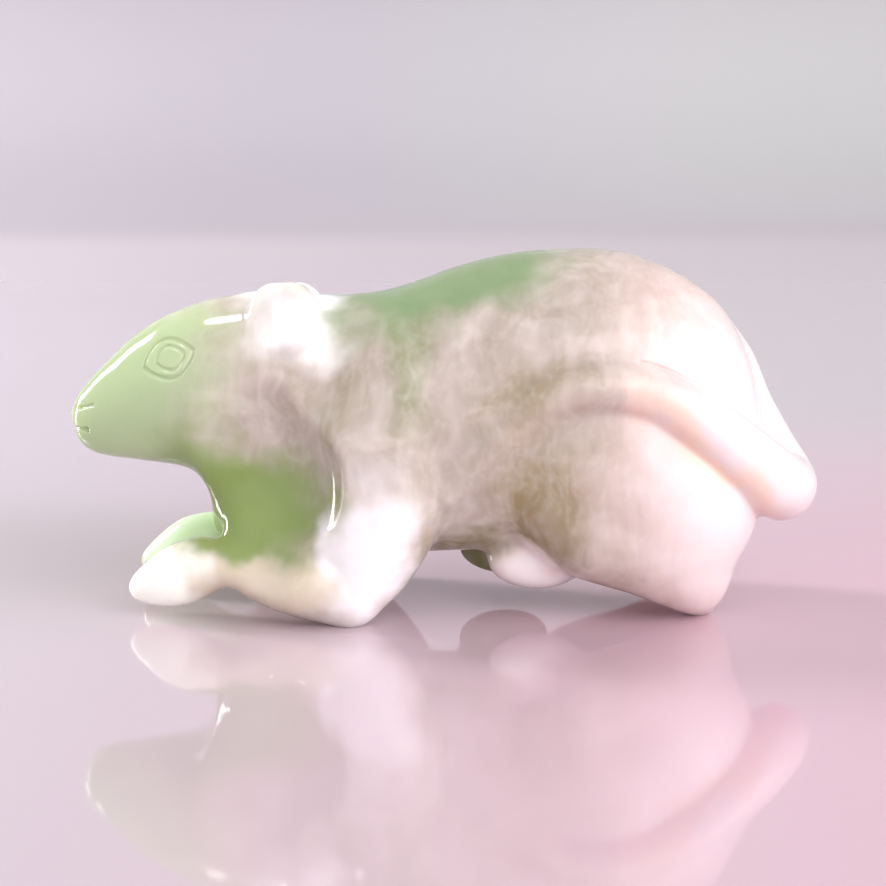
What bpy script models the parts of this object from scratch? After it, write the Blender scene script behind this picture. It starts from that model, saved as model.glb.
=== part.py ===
"""A small polished stone carving of a crouching mouse, cut from one piece of serpentine.

The mouse looks along -X and stands on z = 0 on the ground flats of its elbows and heels.
Its tail comes down the middle of the rump, turns to the -Y side and lies along that flank.
"""

import math

import bmesh
import bpy
import numpy as np
from mathutils import Euler, Matrix, Vector

# Driving dimensions, in metres.
LENGTH = 0.0500  # from the nose to the outermost bend of the tail
EYE_LINE_RADIUS = 0.00017  # radius of the burr that cut the lines round the eye
MOUTH_LINE_RADIUS = 0.00014  # radius of the burr that cut the mouth and the nostrils
TAIL_LINE_RADIUS = 0.00019  # radius of the burr that cut the line along the tail
FOOT_GRIND = 0.00012  # how much is ground off the elbows and heels, so that they stand flat
FINISHED_FACES = 6800  # triangles left in the polished form before the fine lines are cut

# The figure's proportions are in fiftieths of its length, so they read as millimetres at 50 mm.
SHARE = LENGTH / 50
FUSE_CELL = 0.26 * SHARE  # cell of the remesh that makes the overlapping masses one skin
POLISH_ROUNDS = 9  # rounds of smoothing, which round the creases as tumbling does
RING_SIDES = 40
STEPS_PER_STATION = 4
CUT_REACH = 3.0 * SHARE  # how far the grinding block reaches below the feet

# Stations of the head and torso: distance along X, top, underside, half width; for the torso also
# the share by which it narrows from mid height to its top, which for the head is HEAD_EGG.
HEAD = [
    (-25.05, 14.0, 12.9, 0.8),
    (-24.70, 14.5, 11.95, 1.3),
    (-24.20, 15.1, 11.25, 1.75),
    (-23.40, 16.05, 10.75, 2.25),
    (-22.30, 17.15, 10.5, 2.8),
    (-21.00, 18.4, 10.35, 3.45),
    (-19.30, 19.6, 10.15, 4.15),
    (-17.60, 20.4, 9.95, 4.75),
    (-16.00, 20.95, 9.85, 5.2),
    (-14.30, 21.3, 10.0, 5.5),
    (-12.50, 21.6, 10.40, 5.65),
    (-10.50, 21.6, 11.10, 5.6),
    (-8.50, 21.2, 12.20, 5.3),
    (-6.50, 20.6, 14.0, 4.6),
]
TORSO = [
    (-17.00, 10.9, 9.35, 1.2, 0.0),
    (-16.50, 12.6, 8.75, 2.3, 0.0),
    (-16.00, 14.0, 8.1, 2.9, -0.05),
    (-15.50, 15.2, 7.2, 3.3, -0.10),
    (-15.10, 16.0, 6.0, 3.6, -0.15),
    (-14.60, 16.8, 5.0, 3.9, -0.20),
    (-13.50, 18.0, 4.5, 4.3, -0.24),
    (-11.50, 19.8, 4.2, 4.6, -0.26),
    (-9.00, 21.0, 4.0, 4.95, -0.26),
    (-6.50, 21.35, 3.9, 5.5, -0.22),
    (-4.00, 21.65, 3.9, 6.4, -0.10),
    (-1.40, 22.45, 4.0, 7.0, 0.0),
    (0.60, 23.2, 4.1, 7.2, 0.04),
    (4.50, 24.15, 4.2, 7.3, 0.06),
    (9.20, 24.45, 4.4, 7.35, 0.06),
    (12.00, 24.15, 4.9, 7.3, 0.06),
    (14.00, 23.45, 5.4, 7.1, 0.06),
    (16.00, 22.45, 5.9, 6.7, 0.06),
    (18.20, 20.7, 6.4, 5.9, 0.04),
    (19.60, 18.5, 7.1, 4.9, 0.0),
    (20.60, 16.0, 8.0, 3.8, 0.0),
    (21.20, 13.8, 9.2, 2.4, 0.0),
]
HEAD_EGG = 0.16

# Limbs on the -Y side: place and radius at each point. The other side mirrors them.
UPPER_ARM = [((-4.6, -2.8, 15.6), 2.4), ((-3.7, -4.4, 12.4), 3.1), ((-3.3, -4.9, 8.6), 3.3), ((-4.5, -5.15, 5.1), 2.85),
             ((-5.8, -5.4, 2.7), 2.1), ((-6.35, -5.5, 1.65), 1.45)]
FOREARM = [((-6.3, -5.45, 2.0), 1.8), ((-8.7, -5.4, 2.75), 2.15), ((-11.3, -5.0, 3.2), 1.85), ((-13.6, -4.5, 4.1), 1.55),
           ((-15.6, -4.0, 4.1), 1.65)]
SHANK = [((9.6, -4.3, 6.6), 3.4), ((12.8, -4.1, 5.6), 3.45), ((14.9, -3.85, 4.4), 3.15), ((16.2, -3.5, 3.3), 2.7),
         ((16.8, -3.0, 1.8), 1.6)]
TAIL = [((17.4, 0.2, 19.9), 0.9), ((19.3, 0.3, 17.2), 1.25), ((20.4, 0.2, 14.0), 1.65), ((21.4, -0.7, 11.2), 2.0),
        ((22.3, -2.5, 9.2), 2.3), ((21.5, -4.6, 9.7), 2.25), ((19.7, -5.75, 11.4), 2.1), ((17.4, -6.35, 13.4), 1.85),
        ((14.8, -6.65, 15.2), 1.6), ((12.3, -6.85, 16.15), 1.45), ((9.6, -6.95, 16.3), 1.38), ((7.2, -6.95, 15.75), 1.32),
        ((5.2, -6.9, 14.6), 1.25), ((3.4, -6.8, 13.0), 1.15), ((1.6, -6.7, 11.2), 1.0), ((0.2, -6.5, 9.4), 0.7)]
TAIL_LINE_SPAN = (5, 11)  # the tail points between which its edge is cut as a line

# Rounded masses on the -Y side: centre, half sizes along X, Y and Z, and turn about X, Y and Z in degrees.
THIGH = ((11.8, -4.1, 9.3), (8.2, 4.05, 6.2), (0, 14, 0))
HAUNCH = ((15.3, -3.8, 8.2), (5.1, 4.1, 5.7), (0, 0, 0))
HIND_PAW = ((5.9, -2.5, 3.6), (3.0, 1.8, 1.6), (0, 4, 0))
FORE_TOES = ((-19.0, -3.3, 2.5), (2.1, 1.5, 1.4), (0, -16, 8))
FORE_WRIST = ((-17.2, -3.65, 3.35), (2.6, 1.75, 2.1), (0, -22, 8))
SHOULDER = ((-3.6, -3.6, 13.4), (4.2, 3.3, 5.6), (0, 8, 0))
EAR = ((-10.25, -3.85, 20.1), (2.35, 0.9, 2.2), (-17, -8, -12))
EAR_HOLLOW = ((-10.9, -4.95, 20.35), (1.6, 0.6, 1.25), (-17, -8, -12))
BROW = ((-17.5, -2.9, 17.8), (2.5, 1.35, 1.6), (0, -18, 16))
FAR_HIND_PAW_LEAD = 1.3  # the +Y hind paw reaches this much further forward
EAR_LEAN = 0.55  # the head leans over, so the -Y ear is this much higher and the +Y one lower

# The eye on the -Y side: its almond outline in the plane of the cheek, and its iris.
EYE_CENTRE = (-17.75, 17.6)  # along X and up
EYE_HALF_LENGTH = 1.8
EYE_HALF_HEIGHT = 1.05
EYE_TILT = math.radians(17)
IRIS_RADIUS = 0.68
MOUTH_CENTRE = (-23.1, 0.0, 12.65)
NOSTRIL = ((-24.1, 14.0), (-23.1, 14.4))
SPINE = ((-15.0, 0.0, 12.0), (16.0, 0.0, 12.0))  # the axis that the body's skin faces away from

STONE_COLOUR = (0.70, 0.74, 0.62, 1.0)


def clear_scene():
    for obj in list(bpy.data.objects):
        bpy.data.objects.remove(obj, do_unlink=True)


def collection_named(name):
    made = bpy.data.collections.new(name)
    bpy.context.scene.collection.children.link(made)
    return made


def stone():
    """Pale polished serpentine."""
    material = bpy.data.materials.new("serpentine")
    material.use_nodes = True
    shader = material.node_tree.nodes["Principled BSDF"]
    shader.inputs["Base Color"].default_value = STONE_COLOUR
    shader.inputs["Roughness"].default_value = 0.12
    shader.inputs["Metallic"].default_value = 0.0
    return material


def mirrored(points):
    """Points and radii of a limb, carried over to the +Y side."""
    return [((x, -y, z), radius) for (x, y, z), radius in points]


def smooth_through(rows, steps):
    """A Catmull-Rom curve through the rows, with this many steps from one row to the next."""
    rows = np.array(rows, float)
    padded = np.vstack([2 * rows[0] - rows[1], rows, 2 * rows[-1] - rows[-2]])
    share = np.arange(steps)[:, None] / steps
    curve = []
    for a, b, c, d in zip(padded, padded[1:], padded[2:], padded[3:]):
        curve.append(0.5 * (2 * b + (c - a) * share + (2 * a - 5 * b + 4 * c - d) * share**2
                            + (3 * b - a - 3 * c + d) * share**3))
    return np.vstack([*curve, rows[-1:]])


def mesh_object(name, mesh, collection):
    obj = bpy.data.objects.new(name, mesh)
    collection.objects.link(obj)
    return obj


def lofted(name, stations, collection):
    """A closed skin over egg-shaped rings, one at each step along the stations."""
    bm = bmesh.new()
    rings = []
    for along, top, bottom, half_width, egg in smooth_through(stations, STEPS_PER_STATION):
        middle, half_height = (top + bottom) / 2, (top - bottom) / 2
        ring = []
        for side in range(RING_SIDES):
            angle = math.tau * side / RING_SIDES
            rise = math.sin(angle)
            out = math.cos(angle) * half_width * (1 - egg * rise)
            ring.append(bm.verts.new(Vector((along, out, middle + rise * half_height)) * SHARE))
        rings.append(ring)
    for ring, following in zip(rings, rings[1:]):
        for side in range(RING_SIDES):
            after = (side + 1) % RING_SIDES
            bm.faces.new((ring[side], following[side], following[after], ring[after]))
    bm.faces.new(rings[0])
    bm.faces.new(reversed(rings[-1]))
    bmesh.ops.recalc_face_normals(bm, faces=bm.faces)
    mesh = bpy.data.meshes.new(name)
    bm.to_mesh(mesh)
    bm.free()
    return mesh_object(name, mesh, collection)


def placed(centre, turn):
    angles = [math.radians(degrees) for degrees in turn]
    return Matrix.Translation(Vector(centre) * SHARE) @ Euler(angles).to_matrix().to_4x4()


def rounded_mass(name, mass, collection, side=1, lead=0.0, rise=0.0):
    """An ellipsoid with its centre, half sizes and turn; side -1 mirrors it to the +Y side."""
    (x, y, z), half_sizes, (turn_x, turn_y, turn_z) = mass
    bm = bmesh.new()
    bmesh.ops.create_uvsphere(bm, u_segments=40, v_segments=24, radius=1.0)
    bmesh.ops.scale(bm, vec=Vector(half_sizes) * SHARE, verts=bm.verts)
    place = placed((x - lead, y * side, z + rise), (turn_x * side, turn_y, turn_z * side))
    bmesh.ops.transform(bm, matrix=place, verts=bm.verts)
    mesh = bpy.data.meshes.new(name)
    bm.to_mesh(mesh)
    bm.free()
    return mesh_object(name, mesh, collection)


def as_mesh(curve_object):
    """The curve's evaluated tube as a mesh object with its caps welded on."""
    graph = bpy.context.evaluated_depsgraph_get()
    mesh = bpy.data.meshes.new_from_object(curve_object.evaluated_get(graph))
    made = bpy.data.objects.new(curve_object.name, mesh)
    made.matrix_world = curve_object.matrix_world
    for collection in curve_object.users_collection:
        collection.objects.link(made)
    bpy.data.objects.remove(curve_object)
    bm = bmesh.new()
    bm.from_mesh(mesh)
    bmesh.ops.remove_doubles(bm, verts=bm.verts, dist=1e-7)
    bm.to_mesh(mesh)
    bm.free()
    return made


def tube(name, points, radii, collection, closed=False, resolution=6):
    """A tube through points in metres, with a radius at each of them."""
    curve = bpy.data.curves.new(name, "CURVE")
    curve.dimensions = "3D"
    curve.bevel_depth = 1.0
    curve.bevel_resolution = resolution
    curve.use_fill_caps = not closed
    spline = curve.splines.new("POLY")
    spline.points.add(len(points) - 1)
    spline.use_cyclic_u = closed
    for point, place, radius in zip(spline.points, points, radii):
        point.co = (*place, 1.0)
        point.radius = radius
    obj = bpy.data.objects.new(name, curve)
    collection.objects.link(obj)
    bpy.context.view_layer.update()
    return as_mesh(obj)


def limb(name, points, collection):
    """A tapered tube with a ball at each end, through places and radii given as shares of the length."""
    rows = smooth_through([(*place, radius) for place, radius in points], STEPS_PER_STATION) * SHARE
    pieces = [tube(name, rows[:, :3], rows[:, 3], collection, resolution=8)]
    for end, (place, radius) in (("start", points[0]), ("end", points[-1])):
        pieces.append(rounded_mass(f"{name}_{end}", (place, (radius,) * 3, (0, 0, 0)), collection))
    return pieces


def masses(collection):
    """Every overlapping mass of the figure, before they are fused."""
    made = [lofted("head", [(*row, HEAD_EGG) for row in HEAD], collection), lofted("torso", TORSO, collection)]
    for side, word in ((1, "near"), (-1, "far")):
        turned = list if side == 1 else mirrored
        made += limb(f"{word}_upper_arm", turned(UPPER_ARM), collection)
        made += limb(f"{word}_forearm", turned(FOREARM), collection)
        made += limb(f"{word}_shank", turned(SHANK), collection)
        made.append(rounded_mass(f"{word}_thigh", THIGH, collection, side))
        made.append(rounded_mass(f"{word}_haunch", HAUNCH, collection, side))
        made.append(rounded_mass(f"{word}_fore_toes", FORE_TOES, collection, side))
        made.append(rounded_mass(f"{word}_fore_wrist", FORE_WRIST, collection, side))
        made.append(rounded_mass(f"{word}_shoulder", SHOULDER, collection, side))
        made.append(rounded_mass(f"{word}_brow", BROW, collection, side))
        made.append(rounded_mass(f"{word}_ear", EAR, collection, side, rise=side * EAR_LEAN))
        made.append(rounded_mass(f"{word}_hind_paw", HIND_PAW, collection, side, lead=FAR_HIND_PAW_LEAD * (side < 0)))
    made += limb("tail", TAIL, collection)
    return made


def apply_modifiers(obj):
    """Bakes the object's modifiers into its mesh."""
    graph = bpy.context.evaluated_depsgraph_get()
    mesh = bpy.data.meshes.new_from_object(obj.evaluated_get(graph))
    obj.modifiers.clear()
    obj.data = mesh


def fused(pieces, name, collection):
    """One skin over all the pieces, smoothed and brought down to its face count."""
    bm = bmesh.new()
    for piece in pieces:
        bm.from_mesh(piece.data)
        bpy.data.objects.remove(piece)
    mesh = bpy.data.meshes.new(name)
    bm.to_mesh(mesh)
    bm.free()
    figure = mesh_object(name, mesh, collection)
    skin = figure.modifiers.new("one_skin", "REMESH")
    skin.mode = "VOXEL"
    skin.voxel_size = FUSE_CELL
    polish = figure.modifiers.new("polish", "SMOOTH")
    polish.factor = 0.5
    polish.iterations = POLISH_ROUNDS
    apply_modifiers(figure)
    figure.data.calc_loop_triangles()
    thinned = figure.modifiers.new("fewer_faces", "DECIMATE")
    thinned.ratio = FINISHED_FACES / len(figure.data.loop_triangles)
    apply_modifiers(figure)
    return figure


def skin_point(figure, target, outward):
    """The outermost point of the skin on the line that leaves the target outward."""
    target, outward = Vector(target), Vector(outward).normalized()
    hit, place, _, _ = figure.ray_cast(target + outward * LENGTH, -outward)
    return place if hit else target


def eye_outline():
    """Points of the almond, pointed at its two corners, as places along X and up."""
    turn = Matrix.Rotation(EYE_TILT, 2)
    points = []
    for step in range(24):
        angle = math.tau * step / 24
        flat = Vector((math.cos(angle) * EYE_HALF_LENGTH,
                       math.sin(angle) * abs(math.sin(angle)) ** 0.35 * EYE_HALF_HEIGHT))
        points.append(Vector(EYE_CENTRE) + turn @ flat)
    return points


def iris_outline():
    return [Vector(EYE_CENTRE) + IRIS_RADIUS * Vector((math.cos(a), math.sin(a)))
            for a in (math.tau * step / 12 for step in range(12))]


def tail_edge(figure, shift):
    """The line where the tail's upper edge meets the body, followed over the skin."""
    first, last = TAIL_LINE_SPAN
    rows = smooth_through([(*place, radius) for place, radius in TAIL[first - 1:last + 2]], 3)[3:-3]
    spine_start, spine_end = np.array(SPINE)
    path = []
    for before, row, after in zip(rows, rows[1:], rows[2:]):
        place, radius = row[:3], row[3]
        share = np.clip((place[0] - spine_start[0]) / (spine_end[0] - spine_start[0]), 0, 1)
        outward = place - (spine_start + share * (spine_end - spine_start))
        outward /= np.linalg.norm(outward)
        across = np.cross(after[:3] - before[:3], outward)
        across /= np.linalg.norm(across)
        on_skin = skin_point(figure, Vector((place + across * radius) * SHARE) + shift, outward)
        path.append(on_skin - Vector(outward) * TAIL_LINE_RADIUS * 0.3)
    return path


def line_cutters(figure, shift, collection):
    """Thin tubes that follow the skin along the carved lines, and the hollows of the ears."""
    made = []
    for side, word in ((1, "near"), (-1, "far")):
        outward = Vector((0, -side, 0))
        for part, outline in (("eye", eye_outline()), ("iris", iris_outline())):
            path = [skin_point(figure, Vector((x, 0, z)) * SHARE + shift, outward) for x, z in outline]
            made.append(tube(f"{word}_{part}_line", path, [EYE_LINE_RADIUS] * len(path), collection, True, 0))
        start, end = (Vector((x, 0, z)) * SHARE + shift for x, z in NOSTRIL)
        path = [skin_point(figure, start.lerp(end, share), outward) for share in (0, 0.35, 0.7, 1)]
        made.append(tube(f"{word}_nostril", path, [MOUTH_LINE_RADIUS] * len(path), collection, False, 0))
        hollow = rounded_mass(f"{word}_ear_hollow", EAR_HOLLOW, collection, side, rise=side * EAR_LEAN)
        hollow.data.transform(Matrix.Translation(shift))
        made.append(hollow)
    centre = Vector(MOUTH_CENTRE) * SHARE + shift
    angles = [math.radians(degrees) for degrees in range(-95, 96, 19)]
    path = [skin_point(figure, centre, (-math.cos(a), math.sin(a), 0)) for a in angles]
    radii = [MOUTH_LINE_RADIUS] * len(path)
    radii[0] = radii[-1] = MOUTH_LINE_RADIUS * 1.7
    made.append(tube("mouth_line", path, radii, collection, False, 0))
    path = tail_edge(figure, shift)
    made.append(tube("tail_line", path, [TAIL_LINE_RADIUS] * len(path), collection, False, 0))
    return made


def grinding_block(collection):
    """The slab below the feet whose top face is the ground."""
    bm = bmesh.new()
    bmesh.ops.create_cube(bm, size=1.0)
    bmesh.ops.scale(bm, vec=(LENGTH * 2, LENGTH, CUT_REACH), verts=bm.verts)
    bmesh.ops.translate(bm, vec=(0, 0, -CUT_REACH / 2), verts=bm.verts)
    mesh = bpy.data.meshes.new("grinding_block")
    bm.to_mesh(mesh)
    bm.free()
    return mesh_object("grinding_block", mesh, collection)


def cut(figure, cutters):
    for cutter in cutters:
        cutter.hide_render = True
        cutter.display_type = "WIRE"
        modifier = figure.modifiers.new(cutter.name, "BOOLEAN")
        modifier.operation = "DIFFERENCE"
        modifier.object = cutter


def stand_on_ground(figure):
    """Moves the figure so that its box is centred on X and Y and its feet lose FOOT_GRIND; returns the move."""
    points = np.empty(len(figure.data.vertices) * 3)
    figure.data.vertices.foreach_get("co", points)
    low, high = points.reshape(-1, 3).min(axis=0), points.reshape(-1, 3).max(axis=0)
    shift = Vector((-(low[0] + high[0]) / 2, -(low[1] + high[1]) / 2, -low[2] - FOOT_GRIND))
    figure.data.transform(Matrix.Translation(shift))
    return shift


def main():
    clear_scene()
    carving = collection_named("mouse_carving")
    cutters = collection_named("cutters")
    figure = fused(masses(carving), "mouse_carving", carving)
    shift = stand_on_ground(figure)
    cut(figure, [grinding_block(cutters), *line_cutters(figure, shift, cutters)])
    figure.data.materials.clear()
    figure.data.materials.append(stone())
    figure.data.shade_smooth()


main()
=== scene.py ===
"""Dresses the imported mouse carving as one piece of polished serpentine, on a glossy pale floor.

The mouse looks along -X and stands on z = 0. Its tail lies along the -Y flank. Sizes of the carving are
in fiftieths of its length, which read as millimetres, and its finished mesh is in metres.
"""

import logging
import math
from collections.abc import Sequence
from dataclasses import dataclass, field
from enum import Enum

import bpy
import numpy as np
from mathutils import Euler, Matrix, Vector

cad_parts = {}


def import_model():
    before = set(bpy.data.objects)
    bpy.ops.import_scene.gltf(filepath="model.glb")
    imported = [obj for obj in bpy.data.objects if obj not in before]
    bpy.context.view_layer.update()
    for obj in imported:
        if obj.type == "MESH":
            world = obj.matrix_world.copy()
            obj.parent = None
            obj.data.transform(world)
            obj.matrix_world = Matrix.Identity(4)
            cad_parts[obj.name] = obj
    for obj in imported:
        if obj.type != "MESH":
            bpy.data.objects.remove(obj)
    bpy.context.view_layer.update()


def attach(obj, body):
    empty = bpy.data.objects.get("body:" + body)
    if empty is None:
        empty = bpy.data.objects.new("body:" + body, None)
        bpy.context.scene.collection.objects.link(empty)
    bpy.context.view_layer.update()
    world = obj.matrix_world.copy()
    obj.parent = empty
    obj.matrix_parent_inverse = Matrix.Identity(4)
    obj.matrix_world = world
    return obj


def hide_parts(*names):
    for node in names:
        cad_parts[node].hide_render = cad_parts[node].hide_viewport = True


log = logging.getLogger("mouse")

MM = 0.001
NODE = "mouse_carving"
TINY = 1e-9

Array = np.ndarray
Point = tuple[float, float, float]
Span = tuple[float, float]
Colour = tuple[float, float, float, float]
Fade = tuple[int, float, float, float]
Rows = Sequence[Sequence[float]]


class Side(Enum):
    """A flank of the mouse, and the sign of its Y in the values below."""

    LEFT = 1
    RIGHT = -1


def smooth_through(rows: Rows, steps: int) -> Array:
    """Lays a Catmull-Rom curve through the rows, with this many steps from one row to the next.

    Args:
        rows: the values at each station, of any width.
        steps: how many points the curve has for each station.

    Returns:
        The rows of the curve, the first and last station included.
    """
    rows = np.array(rows, float)
    padded = np.vstack([2 * rows[0] - rows[1], rows, 2 * rows[-1] - rows[-2]])
    a, b, c, d = (padded[i:len(padded) - 3 + i, None, :] for i in range(4))
    t = (np.arange(steps) / steps)[None, :, None]
    curve = 0.5 * (2 * b + (c - a) * t + (2 * a - 5 * b + 4 * c - d) * t**2
                   + (3 * b - a - 3 * c + d) * t**3)
    return np.vstack([curve.reshape(-1, rows.shape[1]), rows[-1:]])


def joined(first: Array, second: Array, blend: Array | float) -> Array:
    """Smooth union: the smaller distance, rounded over a band as wide as the blend.

    With h the share of the second from 0 to 1 across the band, it is their mix less blend * h * (1 - h).

    Args:
        first: the distance from one form.
        second: the distance from the other.
        blend: the width of the band, one value or one for each point.

    Returns:
        The distance from both grown together.
    """
    h = np.clip(0.5 + 0.5 * (first - second) / blend, 0.0, 1.0)
    return first + (second - first) * h - blend * h * (1.0 - h)


def carved(body: Array, cutter: Array, blend: Array | float) -> Array:
    """Smooth difference: the body without the cutter, with its rim rounded over the blend."""
    return -joined(-body, cutter, blend)


@dataclass
class Form:
    """A mass of stone, or a cut in it: a distance that is below zero inside."""

    blend: float = 1.0
    fade: Fade | None = None

    def softness(self, points: Array) -> Array | float:
        """The width of the band over which the form grows into the rest, at each point.

        Where a fade is set, it names an axis, two places along it, and the width that holds from
        the second place on. In between, the width goes over by the smooth step 3 s^2 - 2 s^3.

        Args:
            points: places in the stone.

        Returns:
            One width, or one for each point.
        """
        if self.fade is None:
            return self.blend
        axis, start, stop, other = self.fade
        share = np.clip((points[:, axis] - start) / (stop - start), 0.0, 1.0)
        return self.blend + (other - self.blend) * share**2 * (3.0 - 2.0 * share)

    def widest(self) -> float:
        """The widest band of the form."""
        return self.blend if self.fade is None else max(self.blend, self.fade[3])

    def reach(self) -> tuple[Array, Array]:
        """The lowest and highest corner of the form."""
        raise NotImplementedError

    def distance(self, points: Array) -> Array:
        """The distance from the form's skin at each point."""
        raise NotImplementedError


@dataclass
class Lens(Form):
    """An ellipsoid with its centre, its half sizes, and its turn about X, Y and Z in degrees."""

    centre: Point = (0.0, 0.0, 0.0)
    half: Point = (1.0, 1.0, 1.0)
    turn: Point = (0.0, 0.0, 0.0)

    def axes(self) -> Array:
        """The form's own axes, as the columns of a matrix."""
        return np.array(Euler([math.radians(angle) for angle in self.turn]).to_matrix())

    def reach(self) -> tuple[Array, Array]:
        """The lowest and highest corner: the root of the summed squares of the turned half sizes."""
        spread = np.sqrt(((self.axes() * np.array(self.half)) ** 2).sum(axis=1))
        return np.array(self.centre) - spread, np.array(self.centre) + spread

    def distance(self, points: Array) -> Array:
        """Length of the point over the half sizes, times that less one, over the slope of the same.

        Args:
            points: places in the stone.

        Returns:
            The distance from the ellipsoid at each of them.
        """
        own = (points - np.array(self.centre)) @ self.axes() / np.array(self.half)
        size = np.linalg.norm(own, axis=1)
        slope = np.linalg.norm(own / np.array(self.half), axis=1)
        return size * (size - 1.0) / np.maximum(slope, TINY)


@dataclass
class Flap(Lens):
    """A thin slab with rounded corners and a rounded edge: half sizes, turn, corner and edge radius."""

    corner: float = 1.0
    edge: float = 0.5

    def rounded(self, past: Array, radius: float) -> Array:
        """The distance from a corner of this radius, from how far points lie past its two sides."""
        return np.linalg.norm(np.maximum(past, 0.0), axis=1) + np.minimum(past.max(axis=1), 0.0) - radius

    def distance(self, points: Array) -> Array:
        """The flat distance to the rounded outline, joined square to the distance through the slab.

        Args:
            points: places in the stone.

        Returns:
            The distance from the slab at each of them.
        """
        own = np.abs((points - np.array(self.centre)) @ self.axes())
        wide, thick, high = self.half
        side = own[:, [0, 2]] - np.array([wide - self.corner, high - self.corner])
        outline = self.rounded(side, self.corner)
        both = np.stack([outline + self.edge, own[:, 1] - thick + self.edge], axis=1)
        return self.rounded(both, self.edge)


@dataclass
class Limb(Form):
    """A tapered round tube along a smooth path, with a ball at each end."""

    rows: Rows = ()
    steps: int = 10

    def path(self) -> Array:
        """The place and radius at each step of the path."""
        return smooth_through(self.rows, self.steps)

    def reach(self) -> tuple[Array, Array]:
        """The box of all the balls along the path."""
        path = self.path()
        return (path[:, :3] - path[:, 3:]).min(axis=0), (path[:, :3] + path[:, 3:]).max(axis=0)

    def distance(self, points: Array) -> Array:
        """The least, over the path's segments, of the distance to the segment less its radius there.

        Args:
            points: places in the stone.

        Returns:
            The distance from the tube at each of them.
        """
        path = self.path()
        best = np.full(len(points), np.inf)
        for start, end in zip(path, path[1:]):
            run = end[:3] - start[:3]
            away = points - start[:3]
            share = np.clip(away @ run / max(run @ run, TINY), 0.0, 1.0)
            gap = np.linalg.norm(away - share[:, None] * run, axis=1)
            best = np.minimum(best, gap - (start[3] + share * (end[3] - start[3])))
        return best


@dataclass
class Loft(Form):
    """Egg-shaped rings along X: place, top, underside, half width, and share of narrowing to the top.

    The egg room widens the box for rings that swell under their middle, and the probe is the step
    over which the slope is taken.
    """

    stations: Rows = ()
    end_round: float = 0.8
    steps: int = 6
    egg_room: float = 1.3
    probe: float = 0.05
    least_slope: float = 0.05

    def rings(self) -> Array:
        """The smooth run of rings, in the order of their places."""
        rows = smooth_through(self.stations, self.steps)
        return rows[np.argsort(rows[:, 0])]

    def reach(self) -> tuple[Array, Array]:
        """The box of all the rings.

        Returns:
            Its lowest and highest corner, with room for the egg's wider half.
        """
        rings = self.rings()
        width = rings[:, 3].max() * self.egg_room
        return (np.array([rings[0, 0], -width, rings[:, 2].min()]),
                np.array([rings[-1, 0], width, rings[:, 1].max()]))

    def out(self, rings: Array, points: Array) -> Array:
        """How far each point lies out from its ring's middle, where the ring itself is at one.

        It is the root of (y over the half width)^2 + rise^2, with the rise from -1 to 1 between the
        ring's underside and its top, and the half width less by the egg's share of that rise.

        Args:
            rings: the rings, in order.
            points: places in the stone.

        Returns:
            One value for each point.
        """
        x, y, z = points.T
        top, under, half, egg = (np.interp(x, rings[:, 0], rings[:, i]) for i in (1, 2, 3, 4))
        rise = (z - (top + under) / 2) / ((top - under) / 2)
        wide = half * (1.0 - egg * np.clip(rise, -1.0, 1.0))
        return np.sqrt((y / wide) ** 2 + rise**2)

    def distance(self, points: Array) -> Array:
        """How far the point lies out from its ring's middle, less one, over the slope of the same.

        The slope comes from the ring a step further along X, Y and Z. Both ends are closed by planes.

        Args:
            points: places in the stone.

        Returns:
            The distance from the loft at each of them.
        """
        rings = self.rings()
        here = self.out(rings, points)
        beside = [self.out(rings, points + shift) for shift in self.probe * np.eye(3)]
        slope = np.sqrt(sum(((there - here) / self.probe) ** 2 for there in beside))
        skin = (here - 1.0) / np.maximum(slope, self.least_slope)
        ends = np.maximum(rings[0, 0] - points[:, 0], points[:, 0] - rings[-1, 0])
        return -joined(-skin, -ends, self.end_round)


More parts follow.
